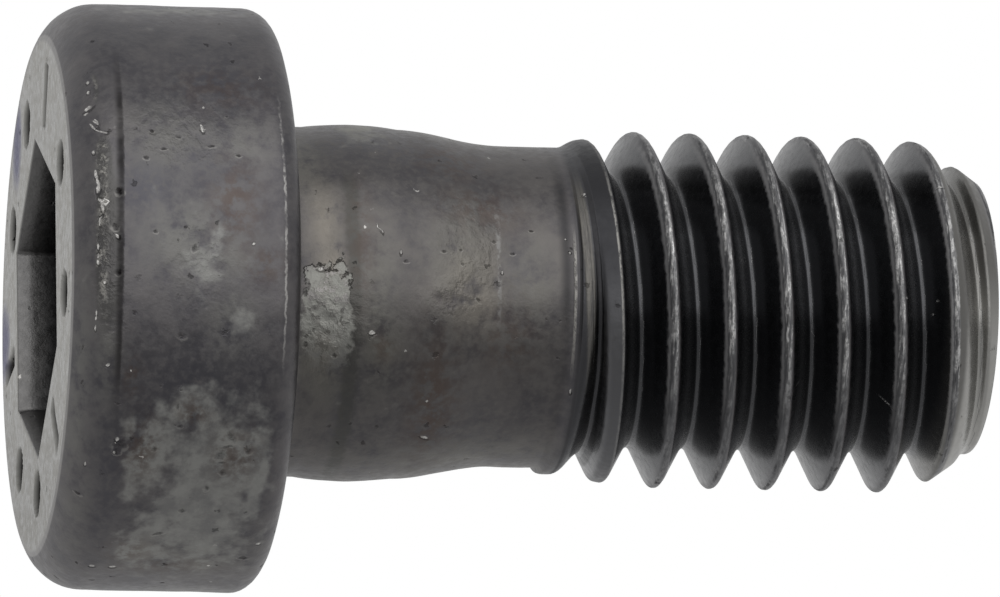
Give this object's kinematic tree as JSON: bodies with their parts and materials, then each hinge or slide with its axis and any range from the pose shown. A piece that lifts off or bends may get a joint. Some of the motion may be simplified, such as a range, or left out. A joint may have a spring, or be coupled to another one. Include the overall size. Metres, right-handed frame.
{
  "type": "low head socket cap screw",
  "caption": "One-piece steel screw with a low round head, a six-sided key socket, a plain shank and a rolled coarse right-hand thread.",
  "frame": {"origin": "centre of the head's flat face, on which the screw stands", "axes": "+Z along the screw's axis, from the head's face to the tip; the hexagon socket has a corner 13.9 degrees from +X towards -Y"},
  "size_m": [0.0126, 0.0126, 0.0207],
  "materials": {
    "dark_steel": "black phosphated and oiled steel, worn at the edges and crests"
  },
  "bodies": {
    "root": {"cap_screw": "dark_steel"}
  },
  "joints": []
}
